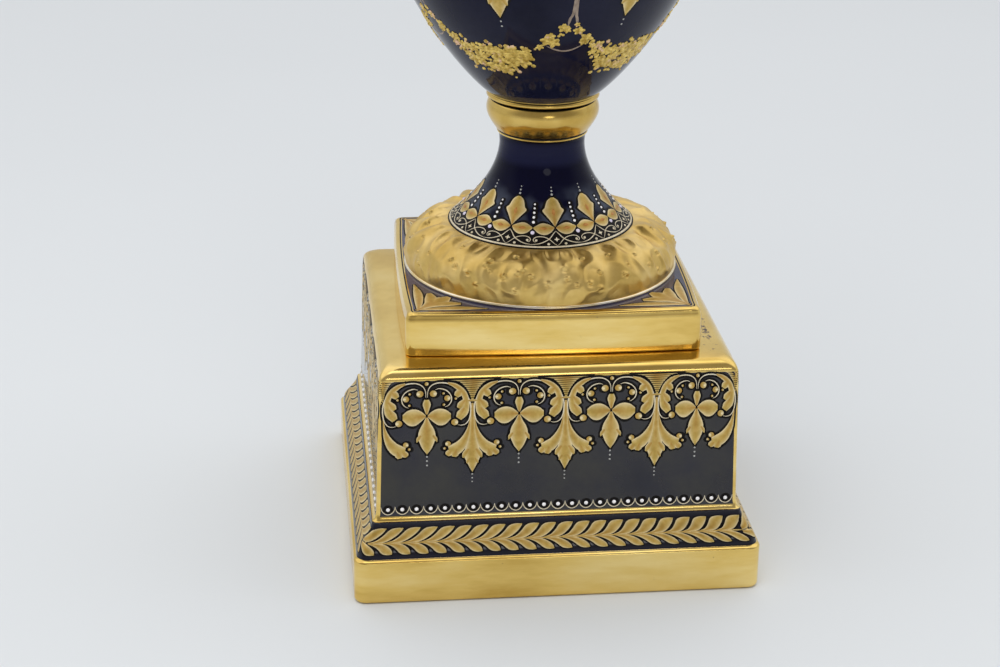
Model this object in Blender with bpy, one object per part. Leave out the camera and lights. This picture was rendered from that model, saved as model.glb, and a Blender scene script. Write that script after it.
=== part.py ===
"""Mantel urn standing on its own square plinth, in cobalt-blue and gilt porcelain.

Three hollow castings stand on each other: the plinth, the foot with its square slab, leaf wreath,
flared stem and collar, and the urn's body.  Lengths are metres, +Z is up, the front faces -Y, and the
origin is the centre of the plinth's footprint on the surface that it stands on.
"""

import math

import bmesh
import bpy
import numpy as np

for leftover in list(bpy.data.objects):
    bpy.data.objects.remove(leftover, do_unlink=True)

MM = 0.001
GAP = 0.3 * MM  # air left between castings that rest on each other

# Plinth: a plain band, a sloped skirting, a small cove, a slightly battered die and a rolled top.
PLINTH_HALF = 60.0 * MM
BAND_HEIGHT = 13.8 * MM
SKIRT_FOOT_HALF = 59.2 * MM
SKIRT_TOP_HALF = 54.3 * MM
SKIRT_TOP = 23.8 * MM
SKIRT_SWAG = 0.35 * MM  # how far the skirting swells low down and hollows higher up
DIE_FOOT_HALF = 53.1 * MM
DIE_FOOT = 27.0 * MM
DIE_TOP_HALF = 51.9 * MM
PLINTH_HEIGHT = 70.3 * MM
PLINTH_ROLL = 3.8 * MM
ROLL_ROUNDING = 0.7  # how much rounder the plinth's corners grow for each step in over the roll
COVE_HANDLES = (0.9 * MM, 0.3 * MM, 1.2 * MM)  # the cove's curve: in and up at its foot, down at its top
PLINTH_CORNER = 3.6 * MM
DIE_CORNER = 1.5 * MM
PLINTH_WALL = 5.0 * MM
BAND_EASE = 1.2 * MM
BAND_TOP_EASE = 0.8 * MM
CORNER_STEPS = 5

# Foot: heights are above the plinth's top.
FOOT_BASE = PLINTH_HEIGHT + GAP
FOOT_TURN = math.radians(-1.0)  # the slab is set a touch out of square with the plinth
SLAB_HALF = 42.9 * MM
SLAB_HEIGHT = 12.9 * MM
SLAB_CORNER = 2.0 * MM
SLAB_EASE = 1.3 * MM
SLAB_ROUNDING = 0.5  # how much tighter the slab's corners grow for each step in over its eased edges
SLAB_RECESS_HALF = 37.5 * MM
SLAB_PLATE = 4.5 * MM
WREATH_CENTRE_RADIUS = 28.0 * MM
WREATH_CENTRE = 16.5 * MM
WREATH_REACH = 12.9 * MM
WREATH_RISE = 10.0 * MM
WREATH_LEAVES = 20
WREATH_RELIEF = 1.0 * MM
LEAF_ROWS = (  # shift round the ring, root, tip and height of each row of leaves, as shares
    (0.0, 0.96, 0.44, 1.0),
    (0.5, 0.66, 0.26, 0.85),
    (0.0, 0.50, 0.16, 0.45),
)
LEAF_HALF_WIDTH = 0.62
LEAF_FULLNESS = 0.6  # below 1, a leaf is broadest near its tip
LEAF_FALL = 0.75  # how much of its height a leaf loses on the way to its root
WREATH_COLUMNS = 112
WREATH_ROWS = 13
STEM_NECK = 51.3 * MM
STEM_NECK_RADIUS = 12.7 * MM
STEM_POWER = 1.9
COLLAR_FOOT = 55.2 * MM
COLLAR_TOP = 64.7 * MM
COLLAR_FOOT_RADIUS = 13.9 * MM
COLLAR_RADIUS = 16.7 * MM
COLLAR_TOP_RADIUS = 16.2 * MM
COLLAR_STEP = 0.9 * MM  # the small step under the collar, in height
COLLAR_LIFT = (0.9 * MM, 2.6 * MM)  # the collar's first handle, out and up from its foot
COLLAR_SWELL = (0.8 * MM, 6.0 * MM)  # its second, out from its radius and up from its foot
STEM_WALL = 4.2 * MM
STEM_HOLLOW_TOP = 57.0 * MM
STEM_HOLLOW_FOOT = 27.0 * MM
ROUND = 44

# Body: heights are above the plinth's top as well.
BODY_BASE = COLLAR_TOP + GAP
BODY_BAND_RADIUS = 16.7 * MM
BODY_BAND_TOP = 66.9 * MM
BODY_BAND_EASE = 0.5 * MM
BODY_START_RADIUS = 16.4 * MM
BODY_SPREAD = (4.1 * MM, 1.7 * MM)  # how far the curve's first handle leads out and up
BELLY_RADIUS = 53.0 * MM
BELLY = 146.0 * MM
BELLY_FULLNESS = 42.8 * MM  # the belly's handle, below its widest place
SHOULDER_FULLNESS = 27.0 * MM  # and above it
NECK_RADIUS = 21.5 * MM
NECK = 197.0 * MM
NECK_HOLLOW = 21.0 * MM  # the shoulder's last handle, below the neck
NECK_FLARE = 9.0 * MM  # the flare's first handle, above the neck
LIP_RADIUS = 31.0 * MM
LIP = 214.0 * MM
LIP_HANDLE = (4.0 * MM, 2.0 * MM)  # in and down from the lip, where the flare turns outwards
LIP_EDGE = (0.8 * MM, 0.6 * MM)  # in and down from the lip, where the flare meets the roll
LIP_ROLL = 1.9 * MM
LIP_ROLL_OFFSET = (0.4 * MM, 1.1 * MM)  # the roll's centre: in and up from the lip
BODY_WALL = 4.0 * MM
BODY_FLOOR = 7.0 * MM
BODY_FLOOR_SHARE = 0.55  # the floor's radius as a share of the body's lowest radius
INNER_ROUND = 32


def circle(radius, height, count):
    """A level ring of count points, the first one half a step past +X."""
    turn = (np.arange(count) + 0.5) * 2 * math.pi / count
    return np.stack([radius * np.cos(turn), radius * np.sin(turn), np.full(count, height)], axis=1)


def square(half, corner, height, turn=0.0):
    """A level square ring with round corners: four quarter arcs, joined by the straight sides."""
    arc = np.linspace(0, math.pi / 2, CORNER_STEPS + 1)
    angles = (arc[None, :] + np.arange(4)[:, None] * math.pi / 2).ravel()
    middles = np.repeat(np.arange(4) * math.pi / 2 + math.pi / 4, CORNER_STEPS + 1)
    reach = (half - corner) * math.sqrt(2)
    x = reach * np.cos(middles) + corner * np.cos(angles)
    y = reach * np.sin(middles) + corner * np.sin(angles)
    turned_x = x * math.cos(turn) - y * math.sin(turn)
    turned_y = x * math.sin(turn) + y * math.cos(turn)
    return np.stack([turned_x, turned_y, np.full(len(x), height)], axis=1)


def bezier(start, start_handle, end_handle, end, count):
    """Points (radius, height) along one cubic curve, both ends included."""
    t = np.linspace(0, 1, count)[:, None]
    points = (1 - t) ** 3 * np.array(start) + 3 * (1 - t) ** 2 * t * np.array(start_handle)
    return points + 3 * (1 - t) * t ** 2 * np.array(end_handle) + t ** 3 * np.array(end)


def quarter(centre, radius, first, last, count):
    """Points (radius, height) along an arc round centre, between two angles in degrees."""
    angle = np.radians(np.linspace(first, last, count))
    return np.stack([centre[0] + radius * np.cos(angle), centre[1] + radius * np.sin(angle)], axis=1)


def join_rings(mesh, low, high):
    """Fills the strip between two rings, whose points are spread evenly by their place in the ring."""
    n = len(low)
    m = len(high)
    if n == m:
        for i in range(n):
            j = (i + 1) % n
            mesh.faces.new((low[i], low[j], high[j], high[i]))
        return
    i = 0
    j = 0
    while i < n or j < m:
        if j == m or (i < n and (i + 1.5) / n <= (j + 1.5) / m):
            mesh.faces.new((low[i % n], low[(i + 1) % n], high[j % m]))
            i += 1
        else:
            mesh.faces.new((low[i % n], high[(j + 1) % m], high[j % m]))
            j += 1


def casting(name, rings, material):
    """One closed body through a run of rings, shut by a flat fan at either end of the run."""
    mesh = bmesh.new()
    loops = [[mesh.verts.new(point) for point in ring] for ring in rings]
    for low, high in zip(loops, loops[1:]):
        join_rings(mesh, low, high)
    first = mesh.verts.new(rings[0].mean(axis=0))
    last = mesh.verts.new(rings[-1].mean(axis=0))
    for a, b in zip(loops[0], loops[0][1:] + loops[0][:1]):
        mesh.faces.new((first, b, a))
    for a, b in zip(loops[-1], loops[-1][1:] + loops[-1][:1]):
        mesh.faces.new((last, a, b))
    data = bpy.data.meshes.new(name)
    mesh.to_mesh(data)
    mesh.free()
    data.materials.append(material)
    data.shade_smooth()
    data.set_sharp_from_angle(angle=math.radians(35))
    piece = bpy.data.objects.new(name, data)
    bpy.context.scene.collection.objects.link(piece)
    return piece


def glaze(name, colour, metallic, roughness):
    """A glazed or gilt finish."""
    material = bpy.data.materials.new(name)
    material.use_nodes = True
    shader = material.node_tree.nodes["Principled BSDF"]
    shader.inputs["Base Color"].default_value = (*colour, 1.0)
    shader.inputs["Metallic"].default_value = metallic
    shader.inputs["Roughness"].default_value = roughness
    return material


def make_plinth():
    """The square plinth, open underneath, from its ceiling down inside and up outside to its top."""
    ceiling = PLINTH_HEIGHT - PLINTH_WALL
    rings = [
        square(DIE_TOP_HALF - PLINTH_WALL, DIE_CORNER, ceiling),
        square(DIE_FOOT_HALF - PLINTH_WALL, DIE_CORNER, DIE_FOOT),
        square(SKIRT_TOP_HALF - PLINTH_WALL, DIE_CORNER, SKIRT_TOP),
        square(SKIRT_FOOT_HALF - PLINTH_WALL, DIE_CORNER, BAND_HEIGHT),
        square(PLINTH_HALF - PLINTH_WALL, DIE_CORNER, 0),
    ]
    for half, height in quarter((PLINTH_HALF - BAND_EASE, BAND_EASE), BAND_EASE, -90, 0, 3):
        rings.append(square(half, PLINTH_CORNER - (PLINTH_HALF - half), height))
    for half, height in quarter(
        (PLINTH_HALF - BAND_TOP_EASE, BAND_HEIGHT - BAND_TOP_EASE), BAND_TOP_EASE, 0, 90, 3
    ):
        rings.append(square(half, PLINTH_CORNER - (PLINTH_HALF - half), height))
    for along in np.linspace(0.2, 1, 5):
        swag = SKIRT_SWAG * math.sin(2 * math.pi * along)
        half = SKIRT_FOOT_HALF + (SKIRT_TOP_HALF - SKIRT_FOOT_HALF) * along + swag
        height = BAND_HEIGHT + (SKIRT_TOP - BAND_HEIGHT) * along
        rings.append(square(half, PLINTH_CORNER + (DIE_CORNER - PLINTH_CORNER) * along, height))
    for half, height in bezier(
        (SKIRT_TOP_HALF, SKIRT_TOP),
        (SKIRT_TOP_HALF - COVE_HANDLES[0], SKIRT_TOP + COVE_HANDLES[1]),
        (DIE_FOOT_HALF, DIE_FOOT - COVE_HANDLES[2]),
        (DIE_FOOT_HALF, DIE_FOOT),
        4,
    )[1:]:
        rings.append(square(half, DIE_CORNER, height))
    roll = (DIE_TOP_HALF - PLINTH_ROLL, PLINTH_HEIGHT - PLINTH_ROLL)
    for half, height in quarter(roll, PLINTH_ROLL, 0, 90, 6):
        inset = DIE_TOP_HALF - half
        rings.append(square(half, DIE_CORNER + inset * ROLL_ROUNDING, height))
    return casting("plinth", rings, glaze("plinth_glaze", (0.02, 0.022, 0.06), 0.0, 0.12))


def leaf_row(turn, rise, shift, root, tip):
    """Height, 0 to 1, of a ring of overlapping pointed leaves that hang from root towards tip."""
    across = np.mod(turn * WREATH_LEAVES / (2 * math.pi) + shift, 1.0) - 0.5
    along = np.clip((rise - tip) / (root - tip), 0, 1)
    half_width = LEAF_HALF_WIDTH * np.sqrt(np.sin(math.pi * np.clip(along, 0.01, 0.99) ** LEAF_FULLNESS))
    dome = np.clip(1 - (across / half_width) ** 2, 0, 1)
    inside = (rise > tip) & (rise < root)
    return np.where(inside, np.sqrt(dome) * (1.0 - LEAF_FALL * along), 0)


def wreath_rings():
    """The moulded wreath: a ring, round above its widest place and upright below it, whose three rows
    of leaves stand out from it."""
    lowest = math.asin((SLAB_HEIGHT - WREATH_CENTRE) / WREATH_RISE)
    rings = []
    turn = (np.arange(WREATH_COLUMNS) + 0.5) * 2 * math.pi / WREATH_COLUMNS
    for rise in np.linspace(0, 1, WREATH_ROWS):
        swing = lowest + (math.pi / 2 - lowest) * rise
        leaves = [tall * leaf_row(turn, rise, shift, root, tip) for shift, root, tip, tall in LEAF_ROWS]
        relief = WREATH_RELIEF * np.max(leaves, axis=0)
        reach = WREATH_REACH + relief
        climb = WREATH_RISE + relief
        radius = WREATH_CENTRE_RADIUS + reach * math.cos(max(swing, 0))
        height = FOOT_BASE + WREATH_CENTRE + climb * math.sin(swing)
        rings.append(np.stack([radius * np.cos(turn), radius * np.sin(turn), height], axis=1))
    return rings


def stem_radius(height):
    """The flared stem's radius at a height above the plinth's top: it narrows as a power curve."""
    foot = WREATH_CENTRE + WREATH_RISE
    share = max(STEM_NECK - height, 0) / (STEM_NECK - foot)
    return STEM_NECK_RADIUS + (WREATH_CENTRE_RADIUS - STEM_NECK_RADIUS) * share ** STEM_POWER


def make_foot():
    """The foot in one casting, hollow from below up to the collar."""
    plate = SLAB_HEIGHT - SLAB_PLATE
    rings = [circle(STEM_NECK_RADIUS - STEM_WALL, FOOT_BASE + STEM_HOLLOW_TOP, INNER_ROUND)]
    for height in np.linspace(STEM_NECK, STEM_HOLLOW_FOOT, 5):
        radius = stem_radius(height) - STEM_WALL
        rings.append(circle(radius, FOOT_BASE + height - STEM_WALL / 2, INNER_ROUND))
    rings.append(circle(WREATH_CENTRE_RADIUS, FOOT_BASE + WREATH_CENTRE, INNER_ROUND))
    rings.append(circle(WREATH_CENTRE_RADIUS, FOOT_BASE + plate, INNER_ROUND))
    rings.append(square(SLAB_RECESS_HALF, SLAB_CORNER, FOOT_BASE + plate, FOOT_TURN))
    rings.append(square(SLAB_RECESS_HALF, SLAB_CORNER, FOOT_BASE, FOOT_TURN))
    for half, height in quarter((SLAB_HALF - SLAB_EASE, SLAB_EASE), SLAB_EASE, -90, 0, 3):
        corner = SLAB_CORNER - SLAB_ROUNDING * (SLAB_HALF - half)
        rings.append(square(half, corner, FOOT_BASE + height, FOOT_TURN))
    for half, height in quarter((SLAB_HALF - SLAB_EASE, SLAB_HEIGHT - SLAB_EASE), SLAB_EASE, 0, 90, 3):
        corner = SLAB_CORNER - SLAB_ROUNDING * (SLAB_HALF - half)
        rings.append(square(half, corner, FOOT_BASE + height, FOOT_TURN))
    rings += wreath_rings()
    foot = WREATH_CENTRE + WREATH_RISE
    for height in np.linspace(foot, STEM_NECK, 8)[1:]:
        rings.append(circle(stem_radius(height), FOOT_BASE + height, ROUND))
    collar = [(STEM_NECK_RADIUS + COLLAR_STEP / 2, COLLAR_FOOT - COLLAR_STEP)]
    collar += list(
        bezier(
            (COLLAR_FOOT_RADIUS, COLLAR_FOOT),
            (COLLAR_FOOT_RADIUS + COLLAR_LIFT[0], COLLAR_FOOT + COLLAR_LIFT[1]),
            (COLLAR_RADIUS + COLLAR_SWELL[0], COLLAR_FOOT + COLLAR_SWELL[1]),
            (COLLAR_TOP_RADIUS, COLLAR_TOP),
            6,
        )
    )
    for radius, height in collar:
        rings.append(circle(radius, FOOT_BASE + height, ROUND))
    return casting("foot", rings, glaze("foot_gilt", (0.72, 0.5, 0.16), 1.0, 0.22))


def inside_of(profile):
    """The profile moved inwards, square to its own run, by the body's wall."""
    run = np.gradient(profile, axis=0)
    length = np.hypot(run[:, 0], run[:, 1])[:, None]
    return profile + np.stack([-run[:, 1], run[:, 0]], axis=1) / length * BODY_WALL


def make_urn():
    """The urn's body: up the outside, over the rolled lip and down inside to its floor."""
    outside = np.concatenate(
        [
            bezier(
                (BODY_START_RADIUS, BODY_BAND_TOP),
                (BODY_START_RADIUS + BODY_SPREAD[0], BODY_BAND_TOP + BODY_SPREAD[1]),
                (BELLY_RADIUS, BELLY - BELLY_FULLNESS),
                (BELLY_RADIUS, BELLY),
                11,
            ),
            bezier(
                (BELLY_RADIUS, BELLY),
                (BELLY_RADIUS, BELLY + SHOULDER_FULLNESS),
                (NECK_RADIUS, NECK - NECK_HOLLOW),
                (NECK_RADIUS, NECK),
                11,
            )[1:],
            bezier(
                (NECK_RADIUS, NECK),
                (NECK_RADIUS, NECK + NECK_FLARE),
                (LIP_RADIUS - LIP_HANDLE[0], LIP - LIP_HANDLE[1]),
                (LIP_RADIUS - LIP_EDGE[0], LIP - LIP_EDGE[1]),
                5,
            )[1:],
        ]
    )
    rings = [
        circle(BODY_BAND_RADIUS - BODY_BAND_EASE, FOOT_BASE + BODY_BASE, ROUND),
        circle(BODY_BAND_RADIUS, FOOT_BASE + BODY_BASE + BODY_BAND_EASE, ROUND),
        circle(BODY_BAND_RADIUS, FOOT_BASE + BODY_BAND_TOP - BODY_BAND_EASE, ROUND),
    ]
    for radius, height in outside:
        rings.append(circle(radius, FOOT_BASE + height, ROUND))
    roll = (LIP_RADIUS - LIP_ROLL_OFFSET[0], LIP + LIP_ROLL_OFFSET[1])
    for radius, height in quarter(roll, LIP_ROLL, -60, 150, 5):
        rings.append(circle(radius, FOOT_BASE + height, ROUND))
    floor = BODY_BASE + BODY_FLOOR
    for radius, height in inside_of(outside)[-2:0:-2]:
        if height > floor:
            rings.append(circle(radius, FOOT_BASE + height, INNER_ROUND))
    rings.append(circle(BODY_START_RADIUS * BODY_FLOOR_SHARE, FOOT_BASE + floor, INNER_ROUND))
    return casting("urn_body", rings, glaze("body_glaze", (0.02, 0.022, 0.06), 0.0, 0.12))


make_plinth()
make_foot()
make_urn()
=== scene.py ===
"""Mantel urn of cobalt-blue and gilt porcelain on its square plinth, seen from slightly above.

The pieces follow each other from the ground up: plinth, its painted borders, slab and stem, wreath, their
painting, and the body with its garlands.  Lengths are millimetres unless a comment says otherwise, and
the front of the urn faces -Y.
"""

import functools
import math

import bmesh
import bpy
import mathutils
import numpy as np
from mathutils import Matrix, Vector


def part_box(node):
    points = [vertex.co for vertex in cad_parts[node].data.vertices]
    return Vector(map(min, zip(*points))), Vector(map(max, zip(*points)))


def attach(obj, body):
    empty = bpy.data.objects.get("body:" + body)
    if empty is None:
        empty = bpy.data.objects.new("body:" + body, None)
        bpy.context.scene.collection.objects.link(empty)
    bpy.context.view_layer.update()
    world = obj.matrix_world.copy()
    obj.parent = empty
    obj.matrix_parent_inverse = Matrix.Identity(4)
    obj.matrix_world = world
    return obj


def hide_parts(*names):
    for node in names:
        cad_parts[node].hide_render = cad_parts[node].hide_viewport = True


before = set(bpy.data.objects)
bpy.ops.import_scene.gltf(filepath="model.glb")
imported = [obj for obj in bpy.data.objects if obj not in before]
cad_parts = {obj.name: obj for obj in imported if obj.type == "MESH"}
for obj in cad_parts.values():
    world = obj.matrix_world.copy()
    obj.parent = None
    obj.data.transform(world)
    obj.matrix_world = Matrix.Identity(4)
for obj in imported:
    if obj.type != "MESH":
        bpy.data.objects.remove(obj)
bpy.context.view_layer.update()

# ---------------------------------------------------------------------------------------------------
# View.  The camera stands close, a little left of the front and well above the plinth, so that the
# urn's belly runs out of the top of the picture.  The eye's place is in metres, as Blender's units are.
MM = 0.001
EYE = (-0.07581, -0.59058, 0.30530)
LOOK_DOWN = math.radians(22.484)
LOOK_RIGHT = math.radians(6.176)
ROLL = math.radians(0.687)
LENS = 74.85

ahead = np.array([math.sin(LOOK_RIGHT), math.cos(LOOK_RIGHT), -math.tan(LOOK_DOWN)]) * math.cos(LOOK_DOWN)
level = np.cross(ahead, (0, 0, 1))
level /= np.linalg.norm(level)
upright = np.cross(level, ahead)
lens = bpy.data.cameras.new("camera")
lens.lens = LENS
lens.sensor_width = 36
lens.clip_start = 0.01
camera = bpy.data.objects.new("camera", lens)
pose = np.eye(4)
pose[:3, 0] = math.cos(ROLL) * level + math.sin(ROLL) * upright
pose[:3, 1] = -math.sin(ROLL) * level + math.cos(ROLL) * upright
pose[:3, 2] = -ahead
pose[:3, 3] = EYE
camera.matrix_world = pose.T.tolist()
bpy.context.scene.collection.objects.link(camera)
bpy.context.scene.camera = camera


# ---------------------------------------------------------------------------------------------------
# Plinth.  One porcelain casting, open underneath: a gilt base band, a blue skirting, a gilt cove line,
# a blue die with gilt corners, and a gilt rolled top.  Inside it is left white.
class Value:
    """A shader socket whose sums, differences, products and powers add Math nodes."""

    def __init__(self, graph, socket):
        self.graph = graph
        self.socket = socket

    def maths(self, operation, *others):
        """A Math node over this value and any others, in their order."""
        return self.graph.node("ShaderNodeMath", {"operation": operation}, dict(enumerate((self, *others))))

    __add__ = __radd__ = functools.partialmethod(maths, "ADD")
    __mul__ = __rmul__ = functools.partialmethod(maths, "MULTIPLY")
    __sub__ = functools.partialmethod(maths, "SUBTRACT")
    __pow__ = functools.partialmethod(maths, "POWER")
    __abs__ = functools.partialmethod(maths, "ABSOLUTE")

    def __rsub__(self, other):
        return self.graph.node("ShaderNodeMath", {"operation": "SUBTRACT"}, {0: other, 1: self})


class Graph:
    """A tree of shader nodes under construction."""

    def __init__(self, tree):
        self.tree = tree

    def plug(self, socket, value):
        """Links a Value to a socket, or sets the socket to a number, a vector or a colour."""
        if isinstance(value, Value):
            self.tree.links.new(value.socket, socket)
        else:
            socket.default_value = (*value, 1.0) if socket.type == "RGBA" else value

    def node(self, kind, settings, sockets, out=0):
        """Adds a node with its settings and its sockets' values or links, and gives one of its outputs."""
        made = self.tree.nodes.new(kind)
        for key, value in settings.items():
            setattr(made, key, value)
        for key, value in sockets.items():
            self.plug(made.inputs[key], value)
        return Value(self, made.outputs[out])

    def vector(self, operation, first, second, out=0):
        """A Vector Math node over two vectors."""
        return self.node("ShaderNodeVectorMath", {"operation": operation}, {0: first, 1: second}, out)

    def coordinates(self, kind="Object"):
        """The place on the surface, in the object's own metres or by its UV."""
        return self.node("ShaderNodeTexCoord", {}, {}, out=kind)

    def part(self, vector, axis):
        """One of a vector's three numbers."""
        return self.node("ShaderNodeSeparateXYZ", {}, {0: vector}, out=axis)

    def noise(self, scale, detail=3.0, roughness=0.5, stretch=(1.0, 1.0, 1.0)):
        """Soft noise, 0 to 1, over the object's own space: scale is in features per metre."""
        place = self.vector("MULTIPLY", self.coordinates(), stretch)
        sockets = {"Vector": place, "Scale": scale, "Detail": detail, "Roughness": roughness}
        return self.node("ShaderNodeTexNoise", {}, sockets)

    def ramp(self, value, *stops):
        """A colour, or a level where the stops are numbers, read from stops of (position, colour)."""
        made = self.node("ShaderNodeValToRGB", {}, {0: value})
        elements = made.socket.node.color_ramp.elements
        while len(elements) < len(stops):
            elements.new(1.0)
        for stop, (position, colour) in zip(elements, stops):
            stop.position = position
            stop.color = (*colour, 1.0) if isinstance(colour, tuple) else (colour, colour, colour, 1.0)
        return made

    def level_at(self, *stops):
        """A level read from stops of (height above the ground, level)."""
        up = RAMP_SCALE * self.part(self.coordinates(), 2)
        return self.ramp(up, *((RAMP_SCALE * height * MM, level) for height, level in stops))

    def mix(self, factor, first, second):
        """One colour fading into another: the factor runs from 0 to 1."""
        return self.node("ShaderNodeMix", {"data_type": "RGBA"}, {0: factor, 6: first, 7: second}, out=2)

    def bump(self, height, distance, strength=1.0):
        """A Bump node over a height of 0 to 1 that stands for a distance."""
        sockets = {"Height": height, "Distance": distance * MM, "Strength": strength}
        return self.node("ShaderNodeBump", {}, sockets)


class Finish(Graph):
    """A material under construction, on one Principled shader."""

    def __init__(self, name, **constants):
        self.material = bpy.data.materials.new(name)
        self.material.use_nodes = True
        super().__init__(self.material.node_tree)
        self.feed(**constants)

    def feed(self, **sockets):
        """Sets or links the shader's own sockets, named in lower case with underscores."""
        shader = self.tree.nodes["Principled BSDF"]
        for key, value in sockets.items():
            self.plug(shader.inputs[key.replace("_", " ").title().replace("Ior", "IOR")], value)


def mottled(name, grain, *stops, rough=None, relief=None, **constants):
    """A finish whose colour drifts between stops with soft noise of a grain: scale, detail, roughness.
    Rough gives the least roughness, what noise adds to it and that noise's grain.  Relief gives a bump's
    grain, depth and strength."""
    finish = Finish(name, **constants)
    finish.feed(base_color=finish.ramp(finish.noise(*grain), *stops))
    if rough:
        finish.feed(roughness=rough[0] + rough[1] * finish.noise(*rough[2]))
    if relief:
        finish.feed(normal=finish.bump(finish.noise(*relief[0]), *relief[1:]))
    return finish


def bezier(start, start_handle, end_handle, end, count):
    """Points along one cubic curve between two ends, each pulled by its handle."""
    t = np.linspace(0, 1, count)[:, None]
    points = (1 - t) ** 3 * np.array(start) + 3 * (1 - t) ** 2 * t * np.array(start_handle)
    return points + 3 * (1 - t) * t**2 * np.array(end_handle) + t**3 * np.array(end)


def quarter(centre, radius, first, last, count):
    """Points (out, up) along an arc round centre, between two angles in degrees."""
    angle = np.radians(np.linspace(first, last, count))
    return np.stack([centre[0] + radius * np.cos(angle), centre[1] + radius * np.sin(angle)], axis=1)


def grid_object(name, grids, finishes):
    """One mesh object out of grids of (rows, columns, 3) points.  A grid is an array, or a dictionary of
    its points, whether its columns close in a ring, and its faces' slots.  Points that coincide are
    welded, so seams and poles close."""
    points, faces, slots, paint = [], [], [], []
    base = 0
    for grid in grids:
        grid = grid if isinstance(grid, dict) else {"points": grid}
        rows, columns = grid["points"].shape[:2]
        index = base + np.arange(rows * columns).reshape(rows, columns)
        before = index if grid.get("ring") else index[:, :-1]
        after = np.roll(index, -1, axis=1) if grid.get("ring") else index[:, 1:]
        quads = np.stack([before[:-1], after[:-1], after[1:], before[1:]], axis=-1)
        points.append(grid["points"].reshape(-1, 3))
        faces.append(quads.reshape(-1, 4))
        slots.append(np.broadcast_to(grid.get("slots", 0), quads.shape[:2]).reshape(-1))
        place = np.meshgrid(np.linspace(0, 1, rows), np.linspace(0, 1, columns), indexing="ij")
        paint.append(np.stack(place, axis=-1).reshape(-1, 2))
        base += rows * columns
    points, faces, slots, paint = (np.concatenate(part) for part in (points, faces, slots, paint))
    data = bpy.data.meshes.new(name)
    data.from_pydata((points * MM).tolist(), [], faces.tolist())
    data.polygons.foreach_set("material_index", slots.astype(np.int32))
    layer = data.uv_layers.new(name="paint")
    layer.data.foreach_set("uv", paint[faces.ravel()].astype(np.float32).ravel())
    welded = bmesh.new()
    welded.from_mesh(data)
    bmesh.ops.remove_doubles(welded, verts=welded.verts, dist=WELD)
    welded.to_mesh(data)
    welded.free()
    data.shade_smooth()
    for finish in finishes:
        data.materials.append(finish.material)
    piece = bpy.data.objects.new(name, data)
    bpy.context.scene.collection.objects.link(piece)
    return piece


def solid(name, grids, finishes, replaced=None):
    """One piece of the urn: it rides on the root body, and may stand in for a solid."""
    piece = grid_object(name, grids, finishes)
    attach(piece, "root")
    if replaced:
        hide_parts(replaced)


def blue_glaze(name, pool, film, shine):
    """Cobalt under a thick clear glaze: a very dark blue, bluer where it pools, with a faint film.  On the
    stem the lighter blue at the neck is a painted reflection of the floor, and pale soft patches on the
    flare are painted reflections of soft lights."""
    finish = Finish(name, specular_ior_level=shine)
    deep = tuple(DEEPEST * c for c in pool)
    pooled = finish.ramp(finish.noise(60.0, 4.0), (0.3, deep), (0.7, pool))
    dull = finish.ramp(finish.noise(40.0, 6.0, 0.6), (0.35, 0.0), (0.7, 1.0))
    # Painted reflections, set by height: pale soft patches on the flare and a lighter blue on the neck.
    flare_reflection_patches = finish.ramp(finish.noise(110.0, 2.0), (0.46, 0.0), (0.62, 0.8))
    flare = finish.mix(finish.level_at(*FLARE) * flare_reflection_patches, finish.mix(dull, pooled, film), FLARE_REFLECTION_TINT)
    finish.feed(
        base_color=finish.mix(finish.level_at(*NECK), flare, NECK_REFLECTION_BLUE),
        roughness=0.04 + 0.04 * finish.noise(900.0, 2.0),
        normal=finish.bump(finish.noise(90.0, 2.0), 0.1, 0.25),
    )
    return finish


def burnished_gold(name, softness, wear):
    """Bright gold, burnished with a stone: faint level streaks, and flecks rubbed off it down to the blue
    at the place where the foot has chafed the plinth."""
    finish = Finish(name, metallic=1.0)
    streaks = finish.noise(28.0, 5.0, 0.6, (0.7, 0.7, 3.2))
    away = finish.vector("SUBTRACT", finish.coordinates(), CHAFED_PLACE)
    away = finish.vector("LENGTH", finish.vector("DIVIDE", away, CHAFED_REACH), (0.0, 0.0, 0.0), out=1)
    flecks = finish.noise(560.0, 5.0, 0.7) + wear * finish.ramp(away, (0.35, 1.0), (1.0, 0.0))
    rubbed = finish.ramp(flecks, (0.70, 0.0), (0.76, 1.0))
    stops = ((0.34, (0.66, 0.43, 0.10)), (0.5, (0.85, 0.60, 0.18)), (0.66, (0.94, 0.72, 0.29)))
    finish.feed(
        base_color=finish.mix(rubbed, finish.ramp(streaks, *stops), (0.07, 0.05, 0.06)),
        roughness=softness + 0.12 * finish.noise(55.0, 4.0) + 0.2 * rubbed,
        normal=finish.bump(finish.noise(45.0, 3.0), 0.25, 0.25),
    )
    return finish


WELD = 1e-7
RAMP_SCALE = 5
DEEPEST = 0.6
FLARE_REFLECTION_TINT = (0.085, 0.10, 0.14)
NECK_REFLECTION_BLUE = (0.009, 0.010, 0.038)
# Stops by height for the neck's and the flare's painted reflections, then the middle and the reach, in
# metres, of the chafed place.
NECK = ((116.6, 0.0), (118.4, 1.0), (123.2, 1.0), (124.0, 0.0))
FLARE = ((101.0, 0.0), (102.2, 1.0), (106.0, 1.0), (112.4, 0.0))
CHAFED_PLACE = (0.0456, -0.0280, 0.0702)
CHAFED_REACH = (0.004, 0.019, 0.002)
COBALT = blue_glaze("cobalt_glaze", (0.003, 0.003, 0.022), (0.003, 0.003, 0.014), 0.1)
SKIRT_COBALT = blue_glaze("skirt_cobalt_glaze", (0.003, 0.003, 0.014), (0.007, 0.006, 0.012), 0.4)
DULL_COBALT = blue_glaze("worn_cobalt_glaze", (0.006, 0.006, 0.022), (0.030, 0.028, 0.021), 0.5)
GOLD = burnished_gold("burnished_gold", 0.05, 0.0)
RUBBED_GOLD = burnished_gold("rubbed_gold", 0.09, 0.2)
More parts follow.
